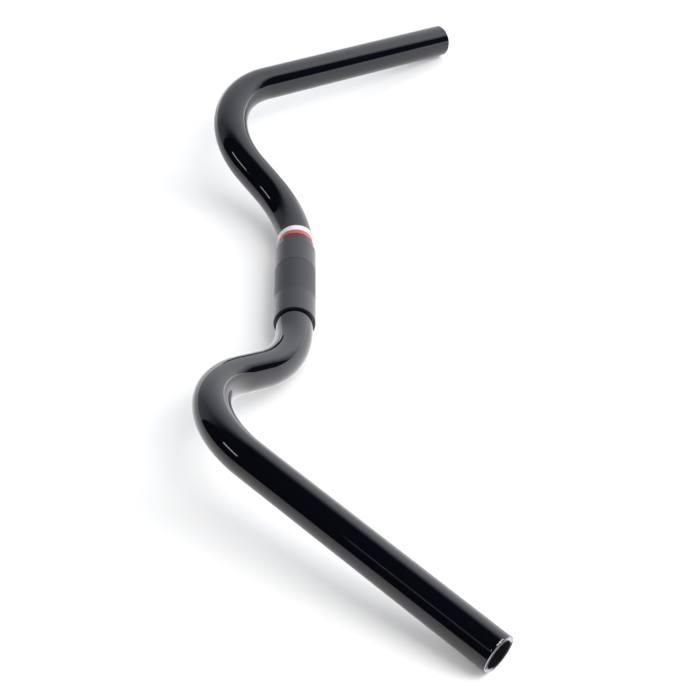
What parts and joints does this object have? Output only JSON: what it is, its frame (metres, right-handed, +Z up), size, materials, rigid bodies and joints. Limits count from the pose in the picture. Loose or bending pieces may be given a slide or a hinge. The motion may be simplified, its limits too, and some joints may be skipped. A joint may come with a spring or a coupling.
{
  "type": "bicycle handlebar",
  "caption": "Bent aluminium bicycle handlebar with a forward rise each side, swept-back grip lengths, a clamp sleeve in the middle and a white and red decal ring beside it.",
  "frame": {"origin": "centre of the clamp sleeve, on the axis that the stem clamps", "axes": "+X along the clamp axis to the rider's right, +Y forward, +Z up; the bar lies as it rests on a flat floor, on its sleeve and its two grip ends"},
  "size_m": [0.6298, 0.1642, 0.0581],
  "materials": {
    "bar_tube": "gloss black lacquer on aluminium tube, bare metal on the sawn ends",
    "centre_sleeve": "satin black, with a knurled band round the middle",
    "decal_ring": "white decal with a red field, under clear lacquer"
  },
  "bodies": {
    "root": {"bar_tube": "bar_tube", "centre_sleeve": "centre_sleeve", "decal_ring": "decal_ring"}
  },
  "joints": []
}
